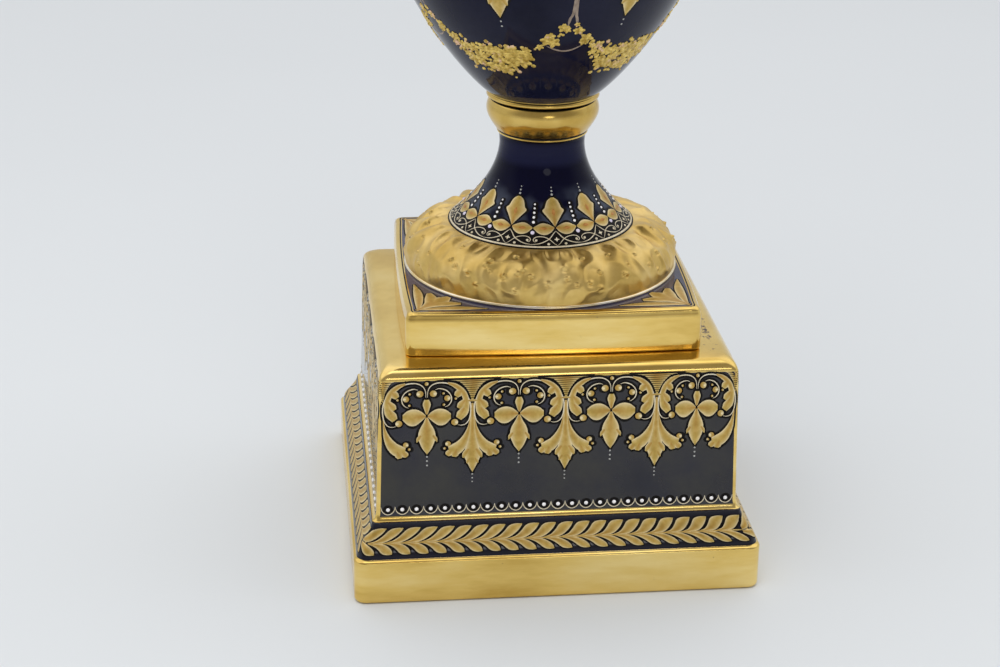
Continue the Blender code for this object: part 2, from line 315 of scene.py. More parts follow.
WHITE = mottled("white_porcelain", (120.0, 4.0), (0.3, (0.66, 0.65, 0.62)), (0.7, (0.78, 0.78, 0.76)),
                relief=((1200.0, 3.0), 0.05, 0.3), roughness=0.3)
# Black paint for lines and grounds, and also painted shade where it fills joints, grooves and hollows.
BLACK = mottled("black_paint_and_painted_shade", (800.0,), (0.3, (0.002, 0.0012, 0.001)), (0.7, (0.006, 0.004, 0.003)),
                roughness=0.45, specular_ior_level=0.15)
BLUE, GILT, PLAIN, DARK, OTHER_BLUE, COLLAR_GILT = range(6)

plinth_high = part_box("plinth")[1]
PLINTH_HALF = plinth_high.x / MM
PLINTH_RISE = plinth_high.z / MM
BAND_RISE = 13.8
BAND_EASE = 1.2
BAND_LIP = 0.8
SKIRT_FOOT = PLINTH_HALF - 0.8
SKIRT_TOP = PLINTH_HALF - 5.7
SKIRT_RISE = 23.8
SKIRT_SWAG = 0.35
DIE_FOOT = PLINTH_HALF - 6.9
DIE_RISE = 27
DIE_TOP = PLINTH_HALF - 8.1
ROLL_RADIUS = 3.8
BASE_CORNER = 3.6
DIE_CORNER = 1.5
PLINTH_WALL = 5
COVE_LINE = (23.65, 25.1)
DIE_GILT_BELOW = PLINTH_RISE - 3.2
TOP_SWELL = 0.22
TOP_MARGIN = 5.4
ARC_STEPS = 8
NEAR = 0.001


def plinth_profile():
    """The outside, from the base band to the top's edge, as (half width, height, corner radius, slot of
    the strip above)."""
    rows = [
        *quarter((PLINTH_HALF - BAND_EASE, BAND_EASE), BAND_EASE, -90, 0, 7),
        (PLINTH_HALF, BAND_EASE + 0.3),
        (PLINTH_HALF, BAND_RISE - BAND_LIP - 0.3),
        *quarter((PLINTH_HALF - BAND_LIP, BAND_RISE - BAND_LIP), BAND_LIP, 0, 80, 6),
    ]
    rows = [(out, up, BASE_CORNER - (PLINTH_HALF - out), GILT) for out, up in rows]
    for share in np.linspace(0.03, 1, 16):
        out = SKIRT_FOOT + (SKIRT_TOP - SKIRT_FOOT) * share + SKIRT_SWAG * math.sin(2 * math.pi * share)
        up = BAND_RISE + (SKIRT_RISE - BAND_RISE) * share
        slot = GILT if up >= COVE_LINE[0] else OTHER_BLUE
        rows.append((out, up, BASE_CORNER + (DIE_CORNER - BASE_CORNER) * share, slot))
    pull = (SKIRT_TOP - 0.9, SKIRT_RISE + 0.3)
    cove = bezier((SKIRT_TOP, SKIRT_RISE), pull, (DIE_FOOT, DIE_RISE - 1.2), (DIE_FOOT, DIE_RISE), 60)
    for up in (*np.linspace(*COVE_LINE, 5), 25.7, 26.3, DIE_RISE):
        slot = GILT if up < COVE_LINE[1] - NEAR else BLUE
        rows.append((np.interp(up, cove[:, 1], cove[:, 0]), up, DIE_CORNER, slot))
    straight_top = PLINTH_RISE - ROLL_RADIUS
    for up in np.linspace(DIE_RISE + 0.4, straight_top, 20)[:-1]:
        share = (up - DIE_RISE) / (PLINTH_RISE - DIE_RISE)
        rows.append((DIE_FOOT + (DIE_TOP - DIE_FOOT) * share, up, DIE_CORNER, BLUE))
    gilt_from = math.degrees(math.asin((DIE_GILT_BELOW - straight_top) / ROLL_RADIUS))
    roll = quarter((DIE_TOP - ROLL_RADIUS, straight_top), ROLL_RADIUS, gilt_from, 87, 14)
    for out, up in ((DIE_TOP, straight_top), *roll):
        slot = BLUE if up < DIE_GILT_BELOW - 0.05 else GILT
        rows.append((out, up, DIE_CORNER + (DIE_TOP - out) * 0.7, slot))
    return rows


def spun(x, y, angle):
    """A place turned about the upright axis."""
    return x * math.cos(angle) - y * math.sin(angle), x * math.sin(angle) + y * math.cos(angle)


def square_ring(half, corner, up, sides):
    """A level ring: four quarter arcs, with extra points along the straight sides at the given shares."""
    arc = np.linspace(0, math.pi / 2, ARC_STEPS + 1)
    straight = half - corner
    bend = np.stack([straight + corner * np.cos(arc), straight + corner * np.sin(arc)], axis=1)
    side = np.stack([(1 - 2 * sides) * straight, np.full(len(sides), half)], axis=1)
    run = np.concatenate([bend, side])
    ring = np.hstack([spun(*run.T, side * math.pi / 2) for side in range(4)])
    return np.stack([*ring, np.full(ring.shape[1], up)], axis=1)


SIDE_SHARES = np.concatenate([[0.004], np.linspace(0.03, 0.97, 15), [0.996]])
profile = plinth_profile()
across = ARC_STEPS + 1 + len(SIDE_SHARES)
corner_columns = np.tile((np.arange(across) >= 1) & (np.arange(across) <= ARC_STEPS - 2), 4)
ceiling = PLINTH_RISE - PLINTH_WALL
inner = [
    (0.0, ceiling, 0.0),
    (DIE_TOP - PLINTH_WALL - 2, ceiling, DIE_CORNER),
    (DIE_TOP - PLINTH_WALL, ceiling - 2, DIE_CORNER),
    (DIE_FOOT - PLINTH_WALL, DIE_RISE, DIE_CORNER),
    (SKIRT_TOP - PLINTH_WALL, SKIRT_RISE, DIE_CORNER),
    (SKIRT_FOOT - PLINTH_WALL, BAND_RISE, DIE_CORNER),
    (PLINTH_HALF - PLINTH_WALL, 0.6, DIE_CORNER),
    (PLINTH_HALF - PLINTH_WALL + 0.6, 0.0, DIE_CORNER),
]
top_edge, _, top_corner, _ = profile[-1]
top_rings = (top_edge - TOP_MARGIN, top_edge / 2, 0.0)
top = [(out, PLINTH_RISE + TOP_SWELL, min(top_corner, out)) for out in top_rings]
strips = [(*row, PLAIN) for row in inner] + profile + [(*row, GILT) for row in top]
rings = np.array([square_ring(out, corner, up, SIDE_SHARES) for out, up, corner, slot in strips])
ring_slots = []
for out, up, corner, slot in strips[:-1]:
    on_die = slot == BLUE and up > COVE_LINE[1] - NEAR
    ring_slots.append(np.where(corner_columns & on_die, GILT, slot))
plinth = {"points": rings, "ring": True, "slots": np.array(ring_slots)}
plinth_finishes = [DULL_COBALT, RUBBED_GOLD, WHITE, BLACK, SKIRT_COBALT]
solid("plinth_porcelain", [plinth], plinth_finishes, "plinth")

# ---------------------------------------------------------------------------------------------------
# Painted border of the die.  Four scrolled arches to a side, laid on as raised gold with a fine brush
# and edged in black, the edging being painted shade of the raised gold's edges: each holds a
# four-petalled flower, and acanthus drops hang between them.
SINK = 0.02
CROWN = 0.14
DARK_LIFT = 0.02


def smooth(points, count):
    """Points along a Catmull-Rom curve: each stretch is the cubic whose slope at a point is half the
    chord between that point's two neighbours."""
    given = np.asarray(points, float)
    given = given[:, None] if given.ndim == 1 else given
    given = np.vstack([2 * given[0] - given[1], given, 2 * given[-1] - given[-2]])
    place = np.linspace(0, len(given) - 3, count)
    stretch = np.minimum(place.astype(int), len(given) - 4)
    t = (place - stretch)[:, None]
    a, b, c, d = (given[stretch + k] for k in range(4))
    return b + 0.5 * t * (c - a + t * (2 * a - 5 * b + 4 * c - d + t * (3 * (b - c) + d - a)))


def sheet(right, left, crown=CROWN, rows=14, columns=7):
    """A leaf between two edges: across it the height follows the root of 1 - w squared, and a narrow leaf
    stands lower than a wide one."""
    w = np.linspace(-1, 1, columns)
    right, left = smooth(right, rows)[:, None, :], smooth(left, rows)[:, None, :]
    flat = right + (left - right) * (w[:, None] + 1) / 2
    fullness = 0.5 + 0.5 * np.minimum(np.linalg.norm(left - right, axis=-1) / 1.4, 1.0)
    height = crown * fullness * np.sqrt(1 - w**2) - SINK
    return np.concatenate([flat, height[..., None]], axis=-1)[:, ::-1]


def blade(spine, left, right=None, crown=CROWN, rows=14, columns=7):
    """A leaf round a spine, from its half widths on the left and on the right."""
    line = smooth(spine, rows)
    run = np.gradient(line, axis=0)
    run /= np.maximum(np.hypot(run[:, 0], run[:, 1]), 1e-9)[:, None]
    side = np.stack([-run[:, 1], run[:, 0]], axis=1)
    to_left = np.maximum(smooth(left, rows), 0.01)
    to_right = np.maximum(smooth(left if right is None else right, rows), 0.01)
    return sheet(line - side * to_right, line + side * to_left, crown, rows, columns)


def upright(*heights):
    """Points one above another on a form's own axis."""
    return [(0, up) for up in heights]


def stroke(spine, half, rows=16, columns=5, crown=CROWN):
    """A brush line of even width that thins at both ends."""
    return blade(spine, [0.4 * half, half, half, half, 0.4 * half], crown=crown, rows=rows, columns=columns)


def bead(u, v, radius, crown=None, sides=10, dimple=0.0):
    """A round dome: rings of points whose height follows a half circle, less a dimple."""
    rho = np.array([1.0, 0.9, 0.62, 0.3, 0.0])[:, None]
    turn = np.linspace(0, 2 * math.pi, sides + 1)[None, :]
    tall = radius * 0.5 if crown is None else crown
    height = tall * np.sqrt(1 - rho**2) * (1 - dimple * np.exp(-((rho / 0.4) ** 2))) - SINK
    x = u + radius * rho * np.cos(turn)
    y = v + radius * rho * np.sin(turn)
    return np.stack([x, y, np.broadcast_to(height, x.shape)], axis=-1)


def outlines(forms, spread=0.5):
    """The dark lines round gold forms: the same forms laid flat, each row widened about its middle and the
    end rows moved outwards."""
    dark = []
    for form in forms:
        flat = form[..., :2]
        middle = flat.mean(axis=1, keepdims=True)
        away = flat - middle
        widest = np.maximum(np.linalg.norm(away, axis=-1).max(axis=1), NEAR)[:, None, None]
        wide = middle + away * (1 + spread / widest)
        for end, inner_row in ((0, 1), (-1, -2)):
            onward = middle[end] - middle[inner_row]
            wide[end] += spread * onward / max(np.linalg.norm(onward), NEAR)
        dark.append(np.concatenate([wide, np.full(form.shape[:2] + (1,), DARK_LIFT)], axis=-1))
    return dark


def both(grids):
    """Forms together with their mirror images."""
    return grids + [(grid * np.array([-1, 1, 1]))[:, ::-1] for grid in grids]


def painted_gold():
    """Raised gold laid with a brush: paler at the rims of each leaf, rust-brown up from its root."""
    finish = Finish("raised_gold", metallic=0.6)
    paint = finish.coordinates("UV")
    rim = abs(2 * finish.part(paint, 1) - 1)
    root = (1 - rim) ** 2 * (1 - finish.part(paint, 0))
    tone = finish.noise(600.0, 3.0)
    stops = ((0.3, (0.46, 0.31, 0.066)), (0.5, (0.56, 0.388, 0.093)), (0.7, (0.66, 0.475, 0.145)))
    veined = finish.mix(root * 0.8, finish.ramp(tone, *stops), (0.46, 0.21, 0.04))
    finish.feed(
        base_color=finish.mix(rim**3, veined, (1.0, 0.86, 0.56)),
        roughness=0.32 + 0.15 * tone,
        normal=finish.bump(finish.noise(1500.0, 2.0), 0.03, 0.35),
    )
    return finish


def enamel(name, colour, painted_light_strength=0.0):
    """Drops of opaque enamel, round and glossy, thinner in places.  A faint emission in their own colour is
    painted light: it stands for the highlights that the domes catch.
    """
    thin = tuple(0.72 * c for c in colour)
    stops = ((0.3, thin), (0.65, colour))
    return mottled(name, (1100.0,), *stops, roughness=0.18, emission_color=colour, emission_strength=painted_light_strength)


PAINT = painted_gold()
PEN = mottled("pen_gold", (900.0,), (0.3, (0.72, 0.61, 0.40)), (0.7, (0.90, 0.82, 0.64)),
              rough=(0.3, 0.2, (900.0,)), metallic=0.4)
# The white enamel's faint emission is painted light, for the highlights on the domed dots.
PEARL = enamel("white_enamel", (0.93, 0.91, 0.92), 0.2)
GREY_DOT = enamel("grey_enamel", (0.50, 0.50, 0.48))

profile_half, profile_rise, profile_corner = (np.array([row[k] for row in profile]) for k in range(3))


def on_side(grid, side, shift=(0.0, 0.0), wrap=None):
    """Lays a flat form on one side of the plinth: its first axis runs to the right, its second is the
    height, and its third stands square to the surface.  Past the straight stretch the form bends round
    the corner's arc.  With wrap, that length reaches from the middle of a corner's arc to the front."""
    u = grid[..., 0] + shift[0]
    up = grid[..., 1] + shift[1]
    half = np.interp(up, profile_rise, profile_half)
    corner = np.interp(up, profile_rise, profile_corner)
    straight = half - corner
    if wrap:
        u = u / wrap * (straight + corner * math.pi / 4)
    bend = np.clip((np.abs(u) - straight) / corner, 0, math.pi / 2) * np.sign(u)
    step = 0.2
    higher, lower = (np.interp(up + by, profile_rise, profile_half) for by in (step, -step))
    slope = (higher - lower) / (2 * step)
    out = grid[..., 2] / np.sqrt(1 + slope**2)
    x = np.clip(u, -straight, straight) + (corner + out) * np.sin(bend)
    y = -(straight + (corner + out) * np.cos(bend))
    return np.stack([*spun(x, y, side * math.pi / 2), up - out * slope], axis=-1)


def arch_forms():
    """One arch about its flower's stalk, below the border's top line: raised gold, pen lines, dark pools."""
    half = [
        blade([(6, -0.75), (8.2, -1.6), (10.2, -3.3), (11.3, -5.6), (11.5, -7.9), (11, -10.1), (9.6, -12.1)],
              [0.3, 0.7, 0.85, 0.85, 0.85, 0.95, 0.4], [0.3, 0.8, 1, 1.1, 1.4, 1.6, 0.7],
              rows=28, columns=9),
        blade([(10, -3.1), (9.1, -4), (8.4, -4.9)], [0.7, 1.25, 0.75], columns=9),
        blade([(11, -6.2), (9.9, -7.6), (9.2, -8.6)], [0.7, 1.25, 0.75], columns=9),
        blade([(10.8, -8.6), (9.8, -10.4), (8.9, -11.6)], [0.7, 1.35, 0.7], columns=9),
        bead(5.9, -5.4, 0.95, sides=12, dimple=0.7, crown=0.22),
        bead(1.9, -3.9, 1.05, sides=14, dimple=0.6, crown=0.24),
        bead(8, -12.9, 1.05, sides=12, dimple=0.85, crown=0.22),
        bead(4.8, -3.9, 0.4, sides=8),
        bead(4.9, -7.4, 0.42, sides=8),
        bead(8.3, -5.6, 0.4, sides=8),
        blade([(0.3, -10.8), (1.4, -10.8), (2.8, -10.8), (4.2, -10.9), (5.6, -10.9), (6.9, -10.9)],
              [0.3, 1.5, 2.4, 2.6, 2.1, 0.8], [0.3, 1.6, 2.8, 3.2, 2.6, 1], rows=18, columns=9),
        blade([(1.7, -16.8), (2.5, -17.9), (2.9, -18.9)], [0.6, 0.6, 0.1]),
    ]
    middle = [
        bead(0, -0.9, 0.6, sides=10),
        blade(upright(-10.2, -8.4, -7.1, -5.7), [0.3, 0.95, 1.3, 0.75]),
        blade(upright(-11.2, -12.9, -14.5, -16.1, -17.8, -19.4, -21, -22.7),
              [0.35, 1.1, 2.1, 2.7, 2.75, 2.2, 1.4, 0.05], rows=24, columns=9),
    ]
    scroll = [
        (0.25, -5), (0.3, -3.4), (0.9, -1.9), (2.2, -0.95), (3.9, -0.65), (6, -0.9), (8.8, -2), (11, -3.9),
        (12.3, -6.6), (12.6, -9.4), (12.2, -12), (11.2, -13.5), (9.9, -13.9), (8.9, -13.7),
    ]
    curl = [
        (2.5, -2.7), (3.4, -2.4), (4.4, -2.5), (5.6, -3), (6.6, -4), (7.1, -5.3), (6.9, -6.7), (6.1, -7.7),
        (5.2, -8.1),
    ]
    pool = [(1, -2.7), (2.6, -1.75), (4.5, -1.75), (6.3, -2.5), (7.6, -3.9), (8.1, -5.6), (7.9, -7.4)]
    pen = [stroke(scroll, 0.22, rows=44), stroke(curl, 0.2, rows=28)]
    pools = [blade(pool, [0.3, 0.8, 0.8, 0.8, 0.75, 0.6, 0.1], crown=DARK_LIFT)]
    return both(half) + middle, both(pen), both(pools)


def drop_lobe():
    """The side leaf of a drop, with the scalloped lobes of its lower edge and the bead at its tip."""
    return [
        blade([(0.6, -10.8), (1, -14.3), (1.9, -17.3), (3.4, -19.7), (5.1, -21.1), (6.8, -21.5)],
              [0.05, 0.35, 0.9, 1.4, 1.7, 1.3], [0.05, 0.5, 1.3, 2.1, 2.4, 1.8], rows=26, columns=9),
        blade([(4.6, -21.4), (5.1, -22.9), (5.3, -23.7)], [0.9, 1.3, 0.7]),
        blade([(5.9, -21.6), (6.9, -22.7), (7.3, -23.2)], [0.8, 1.1, 0.6]),
        bead(8, -21, 0.45, sides=8),
        bead(7, -19.6, 0.85, sides=12, dimple=0.7, crown=0.22),
    ]


def drop_forms():
    """The acanthus that hangs between two arches, with the tie bar that joins them."""
    lobes = [
        blade([(1, -21.4), (2, -22.9), (2.7, -24.1)], [0.7, 1, 0.3]),
        blade([(0.6, -24), (1.2, -25.1), (1.6, -25.9)], [0.6, 0.7, 0.2]),
    ]
    middle = [
        blade(upright(-7.1, -10.5, -13.9, -17.3, -20.7, -23.2, -25.9, -28.7),
              [0.35, 0.6, 0.95, 1.3, 2.1, 2.75, 1.6, 0.05], rows=30, columns=9),
        stroke([(-1.8, -6.4), (0, -6.3), (1.8, -6.4)], 0.36, rows=6, crown=0.25),
    ]
    return both(drop_lobe() + lobes) + middle


def wedge_forms():
    """The ground over a drop: a flat gold wedge between two arches, and the dark strokes across it."""
    fill = blade(upright(0, -0.5, -2, -4, -6.2), [8, 5.6, 3.2, 1.4, 0.3], crown=0.07, columns=5)
    strokes = []
    for up in np.arange(-0.4, -5.4, -0.62):
        reach = np.interp(up, [-6.2, -4, -2, -0.5, 0], [0.2, 1.3, 3.1, 5.4, 7])
        strokes.append(stroke([(-reach, up), (0, up), (reach, up)], 0.15, rows=4, crown=0.2))
    return [fill], strokes


def pieces(prefix, layers, finishes):
    """Makes each layer of painted forms one piece."""
    for (layer, forms), finish in zip(layers.items(), finishes):
        solid(prefix + layer, forms, [finish])


ARCH_ENDS = np.array([-51.4, -25.2, 1.7, 28.1, 51.6])
ARCH_WIDTH = 26.2
WEDGE_SHIFT = 0.6
END_WEDGE = np.array([0.5, 1, 1])
arch_gold, arch_pen, arch_pools = arch_forms()
wedge_gold, wedge_dark = wedge_forms()
# Black edging round the raised gold, made from the forms' outlines: painted shade of their raised edges.
# The strokes across the wedges are black paint.
arch_dark = outlines(arch_gold) + outlines(arch_pen, 0.62) + arch_pools
arch_dots = [bead(0, -23.5 - 1.35 * k, 0.31, sides=8) for k in range(3)]
drop_gold = drop_forms() + wedge_gold
drop_dark = outlines(drop_gold) + wedge_dark
drop_dots = [bead(0, -29.4 - 1.2 * k, 0.29 - 0.03 * k, sides=8) for k in range(3)]
border = {"": [], "_pen_lines": [], "_outline": [], "_dots": []}
for side in range(4):
    layings = []
    for start, end in zip(ARCH_ENDS, ARCH_ENDS[1:]):
        fit = np.array([(end - start) / ARCH_WIDTH, 1, 1])
        for layer, forms in (("", arch_gold), ("_pen_lines", arch_pen), ("_outline", arch_dark)):
            layings.append((layer, forms, (start + end) / 2, fit))
        layings.append(("_dots", arch_dots, (start + end) / 2, 1))
    for end in ARCH_ENDS[1:-1]:
        layings += [("", drop_gold, end, 1), ("_outline", drop_dark, end, 1), ("_dots", drop_dots, end, 1)]
    for end, hand in ((ARCH_ENDS[0], 1), (ARCH_ENDS[-1], -1)):
        beside = end + hand * WEDGE_SHIFT
        lobe = [form if hand > 0 else both([form])[1] for form in drop_lobe()]
        layings += [("", wedge_gold, beside, END_WEDGE), ("_outline", wedge_dark, beside, END_WEDGE)]
        layings += [("", lobe, end, 1), ("_outline", outlines(lobe), end, 1)]
    for layer, forms, place, fit in layings:
        border[layer] += [on_side(form * fit, side, (place, DIE_GILT_BELOW)) for form in forms]
pieces("die_border", border, (PAINT, PEN, BLACK, GREY_DOT))

# ---------------------------------------------------------------------------------------------------
# Beaded edge of the die.  A row of white enamel drops, each in a black round with a gilt scallop
# under it.
BEADS = 25
BEAD_PITCH = 4.14
BEAD_RISE = 27.15
arc = np.radians(np.linspace(180, 360, 9))
edge_forms = {
    "beads": bead(0, 0, 0.6, crown=0.4, sides=10),
    "bead_rounds": bead(0, -0.05, 1.85, crown=2 * DARK_LIFT, sides=16),
    "scallops": stroke(np.stack([2.07 * np.cos(arc), 0.95 + 2.45 * np.sin(arc)], axis=1), 0.16, rows=16),
}
places = [((k - (BEADS - 1) / 2) * BEAD_PITCH, BEAD_RISE) for k in range(BEADS)]
edge = {
    layer: [on_side(form, side, place) for side in range(4) for place in places]
    for layer, form in edge_forms.items()
}
pieces("die_", edge, (PEARL, BLACK, PEN))

# ---------------------------------------------------------------------------------------------------
# Laurel on the skirting.  Pairs of gold leaves run along a stalk and round the corners, tips to the
# right on every side, with hair lines of the black ground between them.
LAUREL_PAIRS = 22
LAUREL_PITCH = 5.15
LAUREL_SHIFT = 2.1
FINE_LINE = 0.3
STALK_RISE = 18.35
SIDE_REACH = LAUREL_PAIRS * LAUREL_PITCH / 2
upper_leaf = sheet(
    [(-5, 0.02), (-2, 0.05), (-0.1, 0.2), (1.4, 0.8), (2.7, 1.7), (3.5, 2.6), (3.95, 3.6)],
    [(-5, 0.2), (-3.3, 0.65), (-2.3, 1.3), (-1.35, 2.2), (-0.7, 3), (0.2, 3.6), (1.9, 3.85), (3.85, 3.7)],
    rows=20)
lower_leaf = sheet(
    [(-5, -0.12), (-3.6, -0.45), (-2.4, -0.95), (-1.3, -1.6), (-0.4, -2.3), (0.5, -2.8), (1.8, -3),
     (3.1, -2.85)],
    [(-5, 0), (-2, -0.03), (-0.2, -0.15), (1.2, -0.6), (2.3, -1.2), (3, -1.9), (3.2, -2.7)],
    rows=20)
leaf_pair = [upper_leaf, lower_leaf, stroke([(-2.6, 0), (0, 0), (2.6, 0)], 0.2, rows=4)]
laurel = {"": [], "_outline": []}
for side in range(4):
    for k in range(LAUREL_PAIRS):
        place = ((k - (LAUREL_PAIRS - 1) / 2) * LAUREL_PITCH - LAUREL_SHIFT, STALK_RISE)
        for layer, forms in (("", leaf_pair), ("_outline", outlines(leaf_pair, FINE_LINE))):
            laurel[layer] += [on_side(form, side, place, SIDE_REACH) for form in forms]
pieces("skirting_laurel", laurel, (PAINT, BLACK))

# ---------------------------------------------------------------------------------------------------
# Foot.  One casting, hollow below: a gilt-sided square slab with a blue top, the ring that the wreath
# covers, the blue flared stem with its black border ground, and the gilt collar under the urn.
foot_low, foot_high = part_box("foot")
FOOT_BASE = foot_low.z / MM
FOOT_TURN = math.radians(-1.0)
SLAB_HALF = 42.9
SLAB_RISE = 12.9
SLAB_CORNER = 2
SLAB_EASE = 0.5
SLAB_BOW = 1
SLAB_PLATE = 4.5
SLAB_RECESS = 37.5
SLAB_SHOULDER = 6
SLAB_BEAD = 1.3
SLAB_RIMS = ((1.75, DARK), (2.15, GILT), (2.45, OTHER_BLUE))
PLATE_HOLE = 30
WREATH_SEAT = 39
SLAB_COLUMNS = 360
WREATH_RING = 28
WREATH_MIDDLE = 16.5
WREATH_REACH = 12.9
WREATH_HEIGHT = 10
STEM_FOOT = WREATH_MIDDLE + WREATH_HEIGHT
STEM_NECK = 51.3
STEM_TOP = 53
NECK_RADIUS = 12.7
COLLAR_FOOT = 55.2
COLLAR_TOP = foot_high.z / MM - FOOT_BASE
COLLAR_FOOT_RADIUS = 13.9
COLLAR_RADIUS = 16.7
COLLAR_TOP_RADIUS = 16.2
BLACK_GROUND = 6.2
STEM_HOLLOW = np.array(
    [(0, 57), (7.5, 57), (8.5, 55), (8.5, 49), (10, 42), (13, 36), (18, 30), (23, 25), (28, 16.5), (30, 8.4)]
)


def slant(profile):
    """Distances along a profile's slant, from its first point to each."""
    return np.concatenate([[0], np.cumsum(np.hypot(*np.diff(profile, axis=0).T))])


def turned(profile, count=192):
    """A surface of revolution through (radius, height above the foot's base) points."""
    turn = np.arange(count) * 2 * math.pi / count
    out, up = profile[:, :1], profile[:, 1:] + FOOT_BASE
    points = [out * np.cos(turn), out * np.sin(turn), np.broadcast_to(up, (len(profile), count))]
    return np.stack(points, axis=-1)


def slab_ring(half, up):
    """A level rounded square by heading, so that it meets round parts point for point: along each
    heading it takes the nearer of the sides, which bow out a little, and the corner's arc."""
    heading = np.arange(SLAB_COLUMNS) * 2 * math.pi / SLAB_COLUMNS
    a, b = np.abs(np.cos(heading - FOOT_TURN)), np.abs(np.sin(heading - FOOT_TURN))
    corner = max(SLAB_CORNER - 0.5 * (SLAB_HALF - half), 0.8)
    inset = half - corner
    bow = SLAB_BOW * np.clip(1 - (np.minimum(a, b) / np.maximum(a, b) / 0.9) ** 2, 0, 1)
    flat = (half + bow) / np.maximum(a, b)
    along = inset * (a + b)
    arc = along + np.sqrt(np.maximum(along**2 - (2 * inset**2 - corner**2), 0))
    reach = np.where((flat * a > inset) & (flat * b > inset), np.minimum(arc, flat), flat)
    height = np.full(SLAB_COLUMNS, FOOT_BASE + up)
    return np.stack([reach * np.cos(heading), reach * np.sin(heading), height], axis=-1)


plate = SLAB_RISE - SLAB_PLATE
hole, seat = turned(np.array([[PLATE_HOLE, plate], [WREATH_SEAT, SLAB_RISE]]), SLAB_COLUMNS)
slab_sides = [
    *quarter((SLAB_HALF - SLAB_EASE, SLAB_EASE), SLAB_EASE, -90, 0, 7),
    (SLAB_HALF, SLAB_EASE + 0.2),
    (SLAB_HALF, SLAB_RISE - 4),
    *quarter((SLAB_HALF - SLAB_SHOULDER, SLAB_RISE - 3.3), SLAB_SHOULDER, 0, 22, 5),
    *quarter((SLAB_HALF - 1.65, SLAB_RISE - 1.35), SLAB_BEAD, 24, 90, 7),
]
slab_rows = [(hole, PLAIN), (slab_ring(SLAB_RECESS, plate), PLAIN), (slab_ring(SLAB_RECESS, 0), GILT)]
slab_rows += [(slab_ring(out, up), GILT) for out, up in slab_sides]
slab_rows += [(slab_ring(SLAB_HALF - inset, SLAB_RISE), slot) for inset, slot in SLAB_RIMS]
slab_rows.append((seat, OTHER_BLUE))
slab_points = np.array([points for points, slot in slab_rows])
slab_slots = np.array([slot for points, slot in slab_rows[:-1]])[:, None]

stem_up = STEM_FOOT + (STEM_NECK - STEM_FOOT) * np.linspace(0, 1, 60) ** 1.3
share = (STEM_NECK - stem_up) / (STEM_NECK - STEM_FOOT)
stem_profile = np.stack([NECK_RADIUS + (WREATH_RING - NECK_RADIUS) * share**1.9, stem_up], axis=1)
stem_profile = np.vstack([stem_profile, (NECK_RADIUS + 0.15, STEM_TOP)])
collar_profile = np.vstack(
    [
        [(NECK_RADIUS + 0.2, STEM_TOP + 0.9), (NECK_RADIUS + 0.4, STEM_TOP + 1.15)],
        quarter((NECK_RADIUS + 0.6, STEM_TOP + 1.5), 0.24, -70, 70, 5),
        bezier(
            (COLLAR_FOOT_RADIUS, COLLAR_FOOT + 0.3),
            (COLLAR_FOOT_RADIUS + 2.1, COLLAR_FOOT + 3.3),
            (COLLAR_RADIUS + 1.2, COLLAR_FOOT + 5.8),
            (COLLAR_TOP_RADIUS - 0.4, COLLAR_TOP - 0.3),
            22,
        ),
        [(COLLAR_TOP_RADIUS - 0.9, COLLAR_TOP), (0, COLLAR_TOP)],
    ]
)
stem_slots = np.where(slant(stem_profile) < BLACK_GROUND, DARK, BLUE)
# Black rings under the bead, in the groove between bead and collar, and on the collar's top in the joint
# under the body: painted shade.
rings_above = [DARK] * 2 + [GILT] * 4 + [DARK] + [COLLAR_GILT] * 21 + [DARK] * 2
stem_slots = np.concatenate([stem_slots, rings_above])[:, None]
foot_grids = [
    {"points": slab_points, "ring": True, "slots": slab_slots},
    {"points": turned(np.vstack([stem_profile, collar_profile])), "ring": True, "slots": stem_slots},
    {"points": turned(STEM_HOLLOW, 96), "ring": True, "slots": PLAIN},
]
# A darker, olive copy of the burnished gold, for the collar and for the body's gilt band and lip: on the
# collar and the band, under the belly, the darker colour is painted shade.
COLLAR_GOLD = mottled("collar_gold", (160.0, 4.0, 0.6), (0.3, (0.58, 0.375, 0.085)),
                      (0.7, (0.72, 0.50, 0.145)), rough=(0.13, 0.12, (240.0, 3.0)), metallic=1.0)
# The slab's level top takes a much lighter, violet copy of the cobalt: painted reflection of the bright tent
# in the glossy top.
SLAB_TOP_COBALT = blue_glaze("slab_top_cobalt_painted_reflection", (0.035, 0.033, 0.085), (0.075, 0.065, 0.12), 0.5)
solid("foot_porcelain", foot_grids, [COBALT, GOLD, WHITE, BLACK, SLAB_TOP_COBALT, COLLAR_GOLD], "foot")

